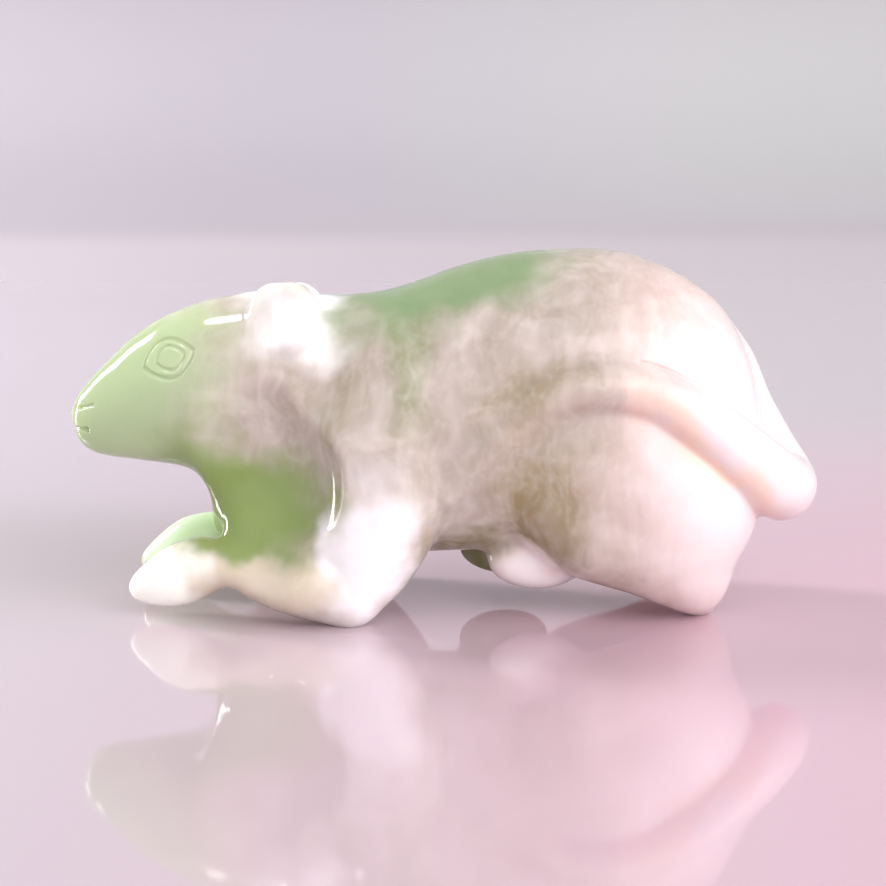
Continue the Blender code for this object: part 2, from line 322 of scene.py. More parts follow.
@dataclass
class Stone:
    """The whole form: masses that grow together, and cuts that are taken from them, in order.

    Far is the distance that stands for empty space, and margin the room round a form within which the
    form is worked out. Settling moves no point further than the longest step, and divides by no less
    than the least square of a slope. A march goes a cautious share of the distance that is left, and
    its steps backward and forward are bounded.
    """

    masses: list[Form] = field(default_factory=list)
    cuts: list[Form] = field(default_factory=list)
    ground: float = -1e3
    far: float = 5.0
    margin: float = 0.6
    least_square: float = 0.04
    longest_step: float = 0.3
    caution: float = 0.6
    backward: float = 0.2
    forward: float = 1.0

    def distance(self, points: Array) -> Array:
        """The joined distance of all masses, carved by all cuts, each worked out only near itself.

        Args:
            points: places in the stone.

        Returns:
            The distance from the skin at each of them, below zero inside.
        """
        value = np.full(len(points), self.far)
        pad = max(form.widest() for form in self.masses) + self.margin
        for form, is_cut in [*((m, False) for m in self.masses), *((c, True) for c in self.cuts)]:
            low, high = form.reach()
            near = np.all((points > low - pad) & (points < high + pad), axis=1)
            if not near.any():
                continue
            apart = form.distance(points[near])
            act = carved if is_cut else joined
            value[near] = act(value[near], apart, form.softness(points[near]))
        return np.maximum(value, self.ground - points[:, 2])

    def slope(self, points: Array, step: float = 0.02) -> Array:
        """The gradient of the distance, from four points at the corners of a small tetrahedron.

        It is the sum of each corner's direction times the distance there, over four steps.

        Args:
            points: places in the stone.
            step: how far the corners lie off along each axis.

        Returns:
            The gradient at each point.
        """
        corners = np.array([(1, -1, -1), (-1, -1, 1), (-1, 1, -1), (1, 1, 1)], float)
        total = np.zeros_like(points)
        for corner in corners:
            total += corner * self.distance(points + corner * step)[:, None]
        return total / (4.0 * step)

    def settled(self, points: Array, rounds: int = 3) -> Array:
        """Moves points onto the skin by Newton's step: the distance over the slope, along the slope.

        Args:
            points: places near the skin.
            rounds: how many steps each point takes.

        Returns:
            The moved points.
        """
        for _ in range(rounds):
            slope = self.slope(points)
            length = np.maximum((slope**2).sum(axis=1), self.least_square)
            step = (self.distance(points) / length)[:, None] * slope
            size = np.linalg.norm(step, axis=1, keepdims=True)
            points = points - step * np.minimum(1.0, self.longest_step / np.maximum(size, TINY))
        return points

    def normals(self, points: Array) -> Array:
        """The outward direction at each point."""
        slope = self.slope(points)
        return slope / np.maximum(np.linalg.norm(slope, axis=1, keepdims=True), TINY)

    def met(self, start: Array, course: Array, rounds: int = 90) -> Array:
        """Marches from outside along a course to the skin, by a share of the distance that is left.

        Args:
            start: points outside.
            course: the way from each of them to the skin.
            rounds: how many steps each point takes.

        Returns:
            Where each of them meets the skin.
        """
        course = course / np.linalg.norm(course, axis=1, keepdims=True)
        travelled = np.zeros(len(start))
        for _ in range(rounds):
            left = self.distance(start + course * travelled[:, None])
            travelled += np.clip(left * self.caution, -self.backward, self.forward)
        return start + course * travelled[:, None]


@dataclass
class Skin:
    """Triangles over the zero of a field, finer where the stone bends sharply or a line is cut.

    The distance is true within a number of cells, the safety, for each place that a stride skips. An
    edge is halved while it is longer than twice the finest length and the outward directions at its
    ends part by more than the bend, in degrees.
    """

    stone: Stone
    cell: float = 0.30
    finest: float = 0.055
    bend: float = 9.0
    safety: float = 2.2

    def sampled(self, places: Array, stride: int = 4) -> Array:
        """The distance at every place of a grid: true near the skin, and roughly right elsewhere.

        One place in each stride is worked out first, and its value stands for its neighbours unless
        it is so small that the skin may pass between them.

        Args:
            places: the grid's places.
            stride: how many cells lie between the places that are worked out first.

        Returns:
            The distance at each place.
        """
        rough = self.stone.distance(places[::stride, ::stride, ::stride].reshape(-1, 3))
        rough = rough.reshape(tuple(len(range(0, n, stride)) for n in places.shape[:3]))
        value = rough
        for axis in range(3):
            nearest = np.round(np.arange(places.shape[axis]) / stride).astype(int)
            value = np.take(value, np.minimum(nearest, rough.shape[axis] - 1), axis=axis)
        near = np.abs(value) < self.safety * stride * self.cell
        value[near] = self.stone.distance(places[near])
        return value

    def first_mesh(self) -> tuple[Array, Array]:
        """Surface nets: a corner in each cell that the skin crosses, at the mean of its edge crossings.

        Returns:
            The corners, and the two triangles of each face between four neighbouring cells.
        """
        boxes = [mass.reach() for mass in self.stone.masses]
        low = np.min([box[0] for box in boxes], axis=0) - 2 * self.cell
        high = np.max([box[1] for box in boxes], axis=0) + 2 * self.cell
        low[2] = max(low[2], self.stone.ground - 2 * self.cell)
        marks = [np.arange(low[i], high[i] + self.cell, self.cell) for i in range(3)]
        places = np.stack(np.meshgrid(*marks, indexing="ij"), axis=-1)
        value = self.sampled(places)
        cells = tuple(n - 1 for n in value.shape)
        total, count = np.zeros((*cells, 3)), np.zeros(cells)
        crossings = []
        for axis in range(3):
            second, third = (axis + 1) % 3, (axis + 2) % 3
            lower, upper = [slice(None)] * 3, [slice(None)] * 3
            lower[axis], upper[axis] = slice(0, -1), slice(1, None)
            start, end = value[tuple(lower)], value[tuple(upper)]
            crossed = (start < 0) != (end < 0)
            share = np.where(crossed, start / np.where(crossed, start - end, 1.0), 0.0)
            spot = places[tuple(lower)].copy()
            spot[..., axis] += share * self.cell
            for by_second in (0, 1):
                for by_third in (0, 1):
                    pick = [slice(None)] * 3
                    pick[second] = slice(by_second, by_second + cells[second])
                    pick[third] = slice(by_third, by_third + cells[third])
                    hit = crossed[tuple(pick)]
                    total += np.where(hit[..., None], spot[tuple(pick)], 0.0)
                    count += hit
            crossings.append((axis, second, third, crossed, start))
        used = count > 0
        number = np.full(cells, -1)
        number[used] = np.arange(used.sum())
        corners = total[used] / count[used][:, None]
        quads = []
        for axis, second, third, crossed, start in crossings:
            inner = [slice(None)] * 3
            inner[second] = inner[third] = slice(1, -1)
            at = np.argwhere(crossed[tuple(inner)])
            at[:, second] += 1
            at[:, third] += 1
            around = []
            for back_second, back_third in ((1, 1), (0, 1), (0, 0), (1, 0)):
                cell = at.copy()
                cell[:, second] -= back_second
                cell[:, third] -= back_third
                around.append(number[tuple(cell.T)])
            quad = np.stack(around, axis=1)
            outward = start[tuple(at.T)] < 0
            quads.append(np.where(outward[:, None], quad, quad[:, ::-1]))
        quads = np.vstack(quads)
        return corners, np.vstack([quads[:, [0, 1, 2]], quads[:, [0, 2, 3]]])

    def split(self, points: Array, normals: Array, faces: Array) -> tuple[Array, Array, Array]:
        """Halves the edges between corners whose outward directions part too far.

        A triangle with one, two or three halved edges becomes two, three or four triangles.

        Args:
            points: the corners.
            normals: the outward direction at each corner.
            faces: the three corners of each triangle.

        Returns:
            The three again, with the new corners and triangles.
        """
        pairs = np.sort(faces[:, [[0, 1], [1, 2], [2, 0]]].reshape(-1, 2), axis=1)
        keys, where = np.unique(pairs[:, 0] * len(points) + pairs[:, 1], return_inverse=True)
        first, second = keys // len(points), keys % len(points)
        length = np.linalg.norm(points[first] - points[second], axis=1)
        parting = np.degrees(np.arccos(np.clip((normals[first] * normals[second]).sum(axis=1), -1, 1)))
        halved = (length > 2 * self.finest) & (parting > self.bend)
        middle = np.full(len(keys), -1)
        middle[halved] = len(points) + np.arange(halved.sum())
        fresh = self.stone.settled((points[first[halved]] + points[second[halved]]) / 2, 2)
        points = np.vstack([points, fresh])
        normals = np.vstack([normals, self.stone.normals(fresh)])
        middle = middle[where.reshape(-1)].reshape(-1, 3)
        marked = middle >= 0
        count = marked.sum(axis=1)
        after_whole = (marked.argmin(axis=1) + 1) % 3
        lead = np.where(count == 1, marked.argmax(axis=1), np.where(count == 2, after_whole, 0))
        turn = (lead[:, None] + np.arange(3)) % 3
        v = np.take_along_axis(faces, turn, axis=1)
        m = np.take_along_axis(middle, turn, axis=1)
        one, two, three = count == 1, count == 2, count == 3

        def made(rows: Array, *corners: Array) -> Array:
            """The triangles that these three corners make in the chosen rows."""
            return np.stack([corner[rows] for corner in corners], axis=1)

        faces = np.vstack([
            faces[count == 0],
            made(one, v[:, 0], m[:, 0], v[:, 2]), made(one, m[:, 0], v[:, 1], v[:, 2]),
            made(two, m[:, 0], v[:, 1], m[:, 1]), made(two, v[:, 0], m[:, 0], m[:, 1]),
            made(two, v[:, 0], m[:, 1], v[:, 2]),
            made(three, v[:, 0], m[:, 0], m[:, 2]), made(three, m[:, 0], v[:, 1], m[:, 1]),
            made(three, m[:, 2], m[:, 1], v[:, 2]), made(three, m[:, 0], m[:, 1], m[:, 2]),
        ])
        return points, normals, faces

    def eased(self, points: Array, normals: Array, faces: Array) -> Array:
        """Moves each corner halfway to the mean of its neighbours, and back onto the skin.

        Args:
            points: the corners.
            normals: the outward direction at each corner.
            faces: the three corners of each triangle.

        Returns:
            The moved corners.
        """
        ends = np.vstack([faces[:, [0, 1]], faces[:, [1, 2]], faces[:, [2, 0]]])
        ends = np.vstack([ends, ends[:, ::-1]])
        many = np.bincount(ends[:, 0], minlength=len(points))
        sums = [np.bincount(ends[:, 0], points[ends[:, 1], i], len(points)) for i in range(3)]
        mean = np.stack(sums, axis=1)
        mean /= np.maximum(many, 1)[:, None]
        move = mean - points
        move -= (move * normals).sum(axis=1, keepdims=True) * normals
        return self.stone.settled(points + 0.5 * move, 1)

    def mesh(self) -> tuple[Array, Array, Array]:
        """The finished skin.

        Returns:
            The corners, the three corners of each triangle, and the outward direction at each corner.
        """
        points, faces = self.first_mesh()
        points = self.stone.settled(points, 3)
        normals = self.stone.normals(points)
        for _ in range(3):
            points, normals, faces = self.split(points, normals, faces)
        points = self.eased(points, normals, faces)
        return points, faces, self.stone.normals(points)


@dataclass(frozen=True)
class Swell:
    """An ellipsoid on the left flank, to be mirrored for the right one."""

    blend: float
    centre: Point
    half: Point
    turn: Point = (0.0, 0.0, 0.0)
    fade: Fade | None = None


@dataclass(frozen=True)
class Burr:
    """A cut line: its points, or those for each station of the tail, its radius, and how deep it is sunk."""

    points: int
    radius: float
    sunk: float = 0.0
    blend: float = 0.12


@dataclass
class MouseCarving:
    """The carved mouse: its masses, its scoops and its burr lines, and the one skin over them.

    The seat moves the figure into the frame, down to where its elbows and heels are cut flat. The head
    and the torso are rows of rings, as in a loft. A limb and the tail are rows of X, Y, Z and radius,
    with the limbs given for the left flank. The right hind paw stands a lead further forward.
    """

    seat: Point = (0.26, 0.06, -0.34)
    head: Rows = (
        (-25.05, 14.0, 12.9, 0.8, 0.16), (-24.70, 14.5, 11.95, 1.3, 0.16),
        (-24.20, 15.1, 11.25, 1.75, 0.16), (-23.40, 16.05, 10.75, 2.25, 0.16),
        (-22.30, 17.15, 10.5, 2.8, 0.16), (-21.00, 18.4, 10.35, 3.45, 0.16),
        (-19.30, 19.6, 10.15, 4.15, 0.16), (-17.60, 20.4, 9.95, 4.75, 0.16),
        (-16.00, 20.95, 9.85, 5.2, 0.16), (-14.30, 21.3, 10.0, 5.5, 0.16),
        (-12.50, 21.6, 10.40, 5.65, 0.16), (-10.50, 21.6, 11.10, 5.6, 0.16),
        (-8.50, 21.2, 12.20, 5.3, 0.16), (-6.50, 20.6, 14.0, 4.6, 0.16),
    )
    torso: Rows = (
        (-15.60, 15.5, 4.95, 3.44, -0.15), (-15.25, 15.6, 4.9, 3.5, -0.16),
        (-14.60, 16.6, 4.72, 3.85, -0.20), (-13.50, 18.0, 4.5, 4.3, -0.24),
        (-11.50, 19.8, 4.2, 4.6, -0.26), (-9.00, 21.0, 4.0, 4.95, -0.26),
        (-6.50, 21.35, 3.9, 5.5, -0.22), (-4.00, 21.65, 3.9, 6.4, -0.10), (-1.40, 22.45, 4.0, 7.0, 0.0),
        (0.60, 23.2, 4.1, 7.2, 0.04), (4.50, 24.15, 4.2, 7.3, 0.06), (9.20, 24.45, 4.4, 7.35, 0.06),
        (12.00, 24.15, 4.9, 7.3, 0.06), (14.00, 23.45, 5.4, 7.1, 0.06), (16.00, 22.45, 5.9, 6.7, 0.06),
        (18.20, 20.7, 6.4, 5.9, 0.04), (19.60, 18.5, 7.1, 4.9, 0.0), (20.60, 16.0, 8.0, 3.8, 0.0),
        (21.20, 13.8, 9.2, 2.4, 0.0),
    )
    upper_arm: Rows = (
        (-4.6, -2.8, 15.6, 2.4), (-3.7, -4.4, 12.4, 3.1), (-3.3, -4.9, 8.6, 3.3),
        (-4.5, -5.15, 5.1, 2.85), (-5.8, -5.4, 2.7, 2.1), (-6.35, -5.5, 1.65, 1.45),
    )
    forearm: Rows = (
        (-6.3, -5.45, 2.0, 1.8), (-8.7, -5.4, 2.75, 2.15), (-11.3, -5.0, 3.2, 1.85),
        (-13.6, -4.5, 3.95, 1.5), (-15.6, -4.0, 3.95, 1.5),
    )
    shank: Rows = (
        (9.6, -4.3, 6.6, 3.4), (12.8, -4.1, 5.6, 3.45), (14.9, -3.85, 4.4, 3.15),
        (16.2, -3.5, 3.3, 2.7), (16.8, -3.0, 1.8, 1.6),
    )
    tail: Rows = (
        (17.4, 0.2, 19.9, 0.9), (19.3, 0.3, 17.2, 1.2), (20.35, 0.2, 14.0, 1.55),
        (21.4, -0.7, 11.2, 2.0), (22.3, -2.5, 9.2, 2.3), (21.5, -4.6, 9.7, 2.25),
        (19.7, -5.75, 11.4, 2.1), (17.4, -6.35, 13.4, 1.9), (14.8, -6.5, 15.2, 1.7),
        (12.3, -6.55, 16.15, 1.6), (9.6, -6.6, 16.3, 1.55), (7.2, -6.55, 15.75, 1.5),
        (5.2, -6.45, 14.6, 1.42), (3.4, -6.3, 13.0, 1.3), (1.6, -6.15, 11.2, 1.15),
        (0.2, -5.9, 9.4, 0.9),
    )
    arm_swell: Swell = Swell(1.2, (-5.8, -4.6, 9.3), (3.9, 3.1, 6.2))
    breast: Swell = Swell(1.5, (-10.0, -3.1, 6.4), (4.5, 3.2, 4.0))
    thigh: Swell = Swell(1.2, (11.8, -4.1, 9.3), (8.2, 4.05, 6.2), (0, 14, 0))
    haunch: Swell = Swell(1.6, (15.3, -3.8, 8.2), (5.1, 4.1, 5.7))
    hind_paw: Swell = Swell(1.3, (5.9, -2.5, 3.6), (3.0, 1.8, 1.6), (0, 4, 0))
    wrist: Swell = Swell(1.0, (-17.2, -3.65, 3.35), (2.6, 1.75, 2.1), (0, -22, 8))
    toes: Swell = Swell(1.2, (-19.0, -3.3, 2.6), (2.1, 1.5, 1.35), (0, -16, 8))
    shoulder: Swell = Swell(1.5, (-3.6, -3.6, 13.4), (4.2, 3.3, 5.6), (0, 8, 0))
    ear: Swell = Swell(0.6, (-10.55, -3.7, 19.75), (2.35, 0.8, 2.4), (-14, -6, -26))
    ear_corner: float = 1.75
    ear_edge: float = 0.6
    throat_scoop: Swell = Swell(2.0, (-11.9, -9.5, 10.4), (5.7, 5.5, 7.7), (0, -4, 0),
                                (0, -12.5, -8.8, 0.32))
    ear_hollow: Swell = Swell(0.5, (-10.75, -4.9, 19.95), (1.6, 0.6, 1.5), (-14, -6, -26))
    ear_lean: float = 0.55
    far_hind_paw_lead: float = 1.9
    far_hind_paw_drop: float = 0.15
    outside: float = 9.0
    eye_centre: Span = (-18.1, 17.72)
    eye_half: Span = (1.80, 1.18)
    eye_tilt: float = math.radians(20)
    eye_almond: float = 0.9
    eye_line: Burr = Burr(40, 0.13)
    iris_half: Span = (0.98, 0.74)
    iris_shift: Span = (0.12, 0.05)
    iris_lozenge: float = 1.35
    iris_line: Burr = Burr(40, 0.13 * 0.8)
    nostril_start: Span = (-24.3, 14.0)
    nostril_run: Span = (1.0, 0.35)
    nostril_line: Burr = Burr(5, 0.10, 0.02)
    mouth_centre: Point = (-23.7, 0.0, 12.65)
    mouth_half_angle: float = 88.0
    mouth_away: float = 8.0
    mouth_pit: float = 2.0
    mouth_line: Burr = Burr(17, 0.10, 0.03)
    tail_marked: tuple[int, int] = (5, 9)
    tail_line: Burr = Burr(4, 0.13)
    tail_edge: float = 0.98
    tail_away: float = 6.0
    tail_swell: float = 6.0
    tail_swell_span: Span = (0.15, 3.0)
    tail_thinnest: float = 0.3
    body_axis: Span = (-15.0, 16.0)
    body_axis_height: float = 12.0

    def mirrored(self, rows: Rows, side: Side) -> Array:
        """A limb's rows, carried over to the other flank where asked."""
        return np.array(rows) * np.array([1.0, side.value, 1.0, 1.0])

    def lens(self, side: Side, swell: Swell, along: float = 0.0, up: float = 0.0) -> Lens:
        """An ellipsoid on a flank, mirrored in place and in turn for the right one.

        Args:
            side: the flank.
            swell: the ellipsoid on the left flank.
            along: how far it is moved along X.
            up: how far it is moved along Z.

        Returns:
            The form.
        """
        s = side.value
        x, y, z = swell.centre
        turn_x, turn_y, turn_z = swell.turn
        return Lens(swell.blend, swell.fade, (x + along, y * s, z + up), swell.half,
                    (turn_x * s, turn_y, turn_z * s))

    def ear_flap(self, side: Side) -> Flap:
        """An ear's flap on a flank."""
        lens = self.lens(side, self.ear, up=self.ear_lean * side.value)
        return Flap(lens.blend, None, lens.centre, lens.half, lens.turn, self.ear_corner, self.ear_edge)

    def masses(self) -> list[Form]:
        """Every mass of the figure, in the order in which they grow together.

        Returns:
            The torso and head, the masses of each flank, and the tail.
        """
        made: list[Form] = [
            Loft(blend=1.0, stations=self.torso, end_round=1.2),
            Loft(blend=2.8, fade=(2, 9.0, 17.0, 0.8), stations=self.head, end_round=0.8),
        ]
        for side in Side:
            lead = self.far_hind_paw_lead * (side is Side.RIGHT)
            made += [
                Limb(blend=1.2, rows=self.mirrored(self.upper_arm, side)),
                self.lens(side, self.arm_swell),
                self.lens(side, self.breast),
                Limb(blend=1.7, fade=(0, -14.0, -5.5, 0.7), rows=self.mirrored(self.forearm, side)),
                Limb(blend=1.8, rows=self.mirrored(self.shank, side)),
                self.lens(side, self.thigh),
                self.lens(side, self.haunch),
                self.lens(side, self.hind_paw, -lead, -self.far_hind_paw_drop * lead),
                self.lens(side, self.wrist),
                self.lens(side, self.toes),
                self.lens(side, self.shoulder),
                self.ear_flap(side),
            ]
        made.append(Limb(blend=0.8, fade=(0, 6.0, 14.0, 0.35), rows=self.tail, steps=8))
        return made

    def scoops(self) -> list[Form]:
        """The throat's scoops, whose rear rims are the fronts of the arms, and the ears' hollows.

        Returns:
            The two cuts of each flank.
        """
        made: list[Form] = []
        for side in Side:
            made += [
                self.lens(side, self.throat_scoop),
                self.lens(side, self.ear_hollow, up=self.ear_lean * side.value),
            ]
        return made

    def cut(self, stone: Stone, line: Burr, start: Array, course: Array, radius: Array | float,
            closed: bool = False) -> Limb:
        """A thin cut that follows the skin.

        Args:
            stone: the form that is cut.
            line: the kind of line.
            start: points outside the stone, one for each point of the line.
            course: the way from each of them to the skin.
            radius: the cut's radius, one value or one for each point.
            closed: whether the line runs back to its start.

        Returns:
            The cut.
        """
        skin = stone.met(start, course)
        skin = skin - stone.normals(skin) * line.sunk
        rows = np.column_stack([skin, np.broadcast_to(radius, len(skin))])
        if closed:
            rows = np.vstack([rows, rows[:1]])
        return Limb(blend=line.blend, rows=rows, steps=2)

    def side_cut(self, stone: Stone, line: Burr, side: Side, flat: Array, closed: bool) -> Limb:
        """A line given by X and Z, cut straight into a flank.

        Args:
            stone: the form that is cut.
            line: the kind of line.
            side: the flank.
            flat: the line's X and Z values.
            closed: whether the line runs back to its start.

        Returns:
            The cut.
        """
        start = np.column_stack([flat[:, 0], np.full(len(flat), -self.outside * side.value), flat[:, 1]])
        course = np.tile([0.0, float(side.value), 0.0], (len(start), 1))
        return self.cut(stone, line, start, course, line.radius, closed)

    def eye_outlines(self) -> tuple[Array, Array]:
        """The almond and the lozenge of an eye, tilted, as X and Z values.

        With c and s the cosine and sine of an even turn, the almond is c and s |s|^0.9, and the
        lozenge is c and s each raised to the power 1.35 with its sign kept.

        Returns:
            Both outlines.
        """
        turn = np.array([[math.cos(self.eye_tilt), math.sin(self.eye_tilt)],
                         [-math.sin(self.eye_tilt), math.cos(self.eye_tilt)]])
        angle = np.arange(self.eye_line.points) * math.tau / self.eye_line.points
        flat = np.stack([np.cos(angle), np.sin(angle)], axis=1)
        pinched = np.stack([flat[:, 0], flat[:, 1] * np.abs(flat[:, 1]) ** self.eye_almond], axis=1)
        almond = pinched * self.eye_half @ turn
        lozenge = np.sign(flat) * np.abs(flat) ** self.iris_lozenge * self.iris_half @ turn
        centre = np.array(self.eye_centre)
        return almond + centre, lozenge + np.array(self.iris_shift) + centre

    def face_lines(self, stone: Stone) -> list[Form]:
        """The almond and iris of each eye, the mouth with its corner pits, and the nostrils.

        Args:
            stone: the form that is cut.

        Returns:
            The cuts.
        """
        made: list[Form] = []
        almond, lozenge = self.eye_outlines()
        share = np.linspace(0.0, 1.0, self.nostril_line.points)[:, None]
        nostril = np.array(self.nostril_start) + np.array(self.nostril_run) * share
        for side in Side:
            made.append(self.side_cut(stone, self.eye_line, side, almond, True))
            made.append(self.side_cut(stone, self.iris_line, side, lozenge, True))
            made.append(self.side_cut(stone, self.nostril_line, side, nostril, False))
        count = self.mouth_line.points
        angle = np.radians(np.linspace(-self.mouth_half_angle, self.mouth_half_angle, count))
        outward = np.stack([-np.cos(angle), np.sin(angle), np.zeros(count)], axis=1)
        radius = np.full(count, self.mouth_line.radius)
        radius[[0, -1]] *= self.mouth_pit
        start = np.array(self.mouth_centre) + outward * self.mouth_away
        made.append(self.cut(stone, self.mouth_line, start, -outward, radius))
        return made

    def tail_cut(self, stone: Stone) -> Limb:
        """The burr line along the tail's upper edge.

        Each point stands off the tail's middle by its radius, square to the tail and to the way out
        from the body's axis, and drops along that way onto the skin. The line thins out at both ends.

        Args:
            stone: the form that is cut.

        Returns:
            The cut.
        """
        first, last = self.tail_marked
        steps = self.tail_line.points
        rows = smooth_through(self.tail[first - 1:last + 2], steps)[steps:-steps]
        count = len(rows)
        axis = np.column_stack([np.clip(rows[:, 0], *self.body_axis), np.zeros(count),
                                np.full(count, self.body_axis_height)])
        outward = rows[:, :3] - axis
        outward /= np.linalg.norm(outward, axis=1, keepdims=True)
        across = np.cross(np.gradient(rows[:, :3], axis=0), outward)
        across /= np.linalg.norm(across, axis=1, keepdims=True)
        edge = rows[:, :3] + across * (rows[:, 3:] * self.tail_edge)
        swell = self.tail_swell * np.sin(np.linspace(*self.tail_swell_span, count))
        radius = self.tail_line.radius * np.clip(swell, self.tail_thinnest, 1.0)
        return self.cut(stone, self.tail_line, edge + outward * self.tail_away, -outward, radius)

    def stone(self) -> Stone:
        """The figure with all its cuts, standing on the ground.

        Returns:
            The stone.
        """
        stone = Stone(self.masses(), self.scoops(), ground=-self.seat[2])
        bare = Stone(stone.masses, list(stone.cuts), stone.ground)
        stone.cuts += [*self.face_lines(bare), self.tail_cut(bare)]
        return stone

    def build(self) -> bpy.types.Object:
        """Makes the carving's mesh object, in metres, at its place in the frame.

        Returns:
            The piece.
        """
        points, faces, normals = Skin(self.stone()).mesh()
        points = (points + np.array(self.seat)) * MM
        mesh = bpy.data.meshes.new("carved_mouse")
        mesh.from_pydata(points, [], faces)
        mesh.update()
        mesh.shade_smooth()
        mesh.normals_split_custom_set_from_vertices(normals.tolist())
        piece = bpy.data.objects.new("carved_mouse", mesh)
        bpy.context.scene.collection.objects.link(piece)
        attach(piece, "root")
        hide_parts(NODE)
        log.info("carved_mouse: %d corners, %d triangles", len(points), len(faces))
        return piece


def shade(red: int, green: int, blue: int) -> Colour:
    """A colour given in steps, as the linear values that a shader takes.

    Args:
        red: its red, in steps of 0 to 255.
        green: its green.
        blue: its blue.

    Returns:
        Its linear values and an alpha of one.
    """
    steps = np.array([red, green, blue]) / 255.0
    linear = np.where(steps <= 0.04045, steps / 12.92, ((steps + 0.055) / 1.055) ** 2.4)
    return (*linear.tolist(), 1.0)


@dataclass
class Graph:
    """Puts nodes into a tree and joins them."""

    tree: bpy.types.NodeTree

    def node(self, kind: str, settings: dict | None = None, **given: object) -> bpy.types.Node:
        """Adds a node.

        Args:
            kind: the node's type.
            settings: its properties by name.
            given: its inputs by name or by place, each a value or another node's output.

        Returns:
            The node.
        """
        node = self.tree.nodes.new(kind)
        for name, value in (settings or {}).items():
            setattr(node, name, value)
        for name, value in given.items():
            place = int(name[2:]) if name.startswith("at") else name.replace("_", " ")
            socket = node.inputs[place]
            if isinstance(value, bpy.types.NodeSocket):
                self.tree.links.new(value, socket)
            else:
                socket.default_value = value
        return node

    def math(self, operation: str, *values: object) -> bpy.types.NodeSocket:
        """One step of arithmetic on numbers."""
        given = {f"at{place}": value for place, value in enumerate(values)}
        return self.node("ShaderNodeMath", {"operation": operation}, **given).outputs[0]

    def vector(self, operation: str, *values: object) -> bpy.types.NodeSocket:
        """One step of arithmetic on vectors.

        Args:
            operation: the kind of step.
            values: what it takes, each a value or another node's output.

        Returns:
            The outcome: a number for a length, or else a vector.
        """
        given = {f"at{place}": value for place, value in enumerate(values)}
        made = self.node("ShaderNodeVectorMath", {"operation": operation}, **given)
        return made.outputs["Value" if operation == "LENGTH" else "Vector"]

    def ramp(self, value: object, low: object, high: object, to_low: float = 0.0,
             to_high: float = 1.0) -> bpy.types.NodeSocket:
        """A smooth step from one value to another, between two places of the input."""
        return self.node("ShaderNodeMapRange", {"interpolation_type": "SMOOTHSTEP"}, at0=value, at1=low,
                         at2=high, at3=to_low, at4=to_high).outputs[0]

    def over(self, share: object, under: object, colour: object) -> bpy.types.NodeSocket:
        """A colour laid over another by a share."""
        made = self.node("ShaderNodeMix", {"data_type": "RGBA"}, at0=share, at6=under, at7=colour)
        return made.outputs[2]


def group(name: str, inputs: Sequence[tuple[str, str, object]], output: str) -> tuple[Graph, dict]:
    """Starts a node group with named inputs and one number as its output.

    Args:
        name: the group's name.
        inputs: each input's name, its kind of socket and its first value.
        output: the output's name.

    Returns:
        The graph to fill, and its sockets: each input by name, and the output's own under "out".
    """
    tree = bpy.data.node_groups.new(name, "ShaderNodeTree")
    for label, kind, value in inputs:
        socket = tree.interface.new_socket(label, in_out="INPUT", socket_type=f"NodeSocket{kind}")
        socket.default_value = value
    tree.interface.new_socket(output, in_out="OUTPUT", socket_type="NodeSocketFloat")
    start, end = tree.nodes.new("NodeGroupInput"), tree.nodes.new("NodeGroupOutput")
    sockets = {label: start.outputs[label] for label, _, _ in inputs}
    sockets["out"] = end.inputs[output]
    return Graph(tree), sockets


def soft_patch() -> bpy.types.NodeTree:
    """A patch of the stone: full inside an ellipsoid that leans along X, fading out across its edge.

    Returns:
        The node group, which puts out the patch's share from 0 to 1.
    """
    graph, at = group("soft patch", (("Place", "Vector", (0, 0, 0)), ("Centre", "Vector", (0, 0, 0)),
                                     ("Half size", "Vector", (1, 1, 1)), ("Lean", "Float", 0.0),
                                     ("Softness", "Float", 0.3), ("Strength", "Float", 1.0)), "Mask")
    away = graph.vector("SUBTRACT", at["Place"], at["Centre"])
    parts = graph.node("ShaderNodeSeparateXYZ", at0=away).outputs
    rise = graph.math("SUBTRACT", parts[2], graph.math("MULTIPLY", parts[0], at["Lean"]))
    leant = graph.node("ShaderNodeCombineXYZ", at0=parts[0], at1=parts[1], at2=rise).outputs[0]
    out = graph.vector("LENGTH", graph.vector("DIVIDE", leant, at["Half size"]))
    outer = graph.math("ADD", 1.0, at["Softness"])
    inner = graph.math("SUBTRACT", 1.0, at["Softness"])
    edge = graph.ramp(out, outer, inner)
    graph.tree.links.new(graph.math("MULTIPLY", edge, at["Strength"]), at["out"])
    return graph.tree


def stone_cloud() -> bpy.types.NodeTree:
    """Clouding: layered noise, drawn out along each axis by the stretch, cut to a soft mask.

    Returns:
        The node group, which puts out the cloud's share from 0 to 1.
    """
    graph, at = group("stone cloud", (("Place", "Vector", (0, 0, 0)), ("Stretch", "Vector", (1, 1, 1)),
                                      ("Scale", "Float", 1.0), ("Detail", "Float", 3.0),
                                      ("From", "Float", 0.4), ("To", "Float", 0.6)), "Mask")
    drawn = graph.vector("DIVIDE", at["Place"], at["Stretch"])
    noise = graph.node("ShaderNodeTexNoise", Vector=drawn, Scale=at["Scale"], Detail=at["Detail"])
    graph.tree.links.new(graph.ramp(noise.outputs[0], at["From"], at["To"]), at["out"])
    return graph.tree


@dataclass(frozen=True)
class Patch:
    """A patch of colour in the stone: its place and half size in millimetres.

    The lean is its rise along X, the softness the share of its size over which it fades out, and the
    strength how much of it shows.
    """

    colour: Colour
    centre: Point
    half: Point
    lean: float = 0.0
    softness: float = 0.35
    strength: float = 1.0


@dataclass(frozen=True)
class Cloud:
    """A layer of clouding: how it is drawn out, its scale and detail, its cut, colour and strength."""

    stretch: Point
    scale: float
    detail: float
    cut: Span
    colour: Colour
    strength: float


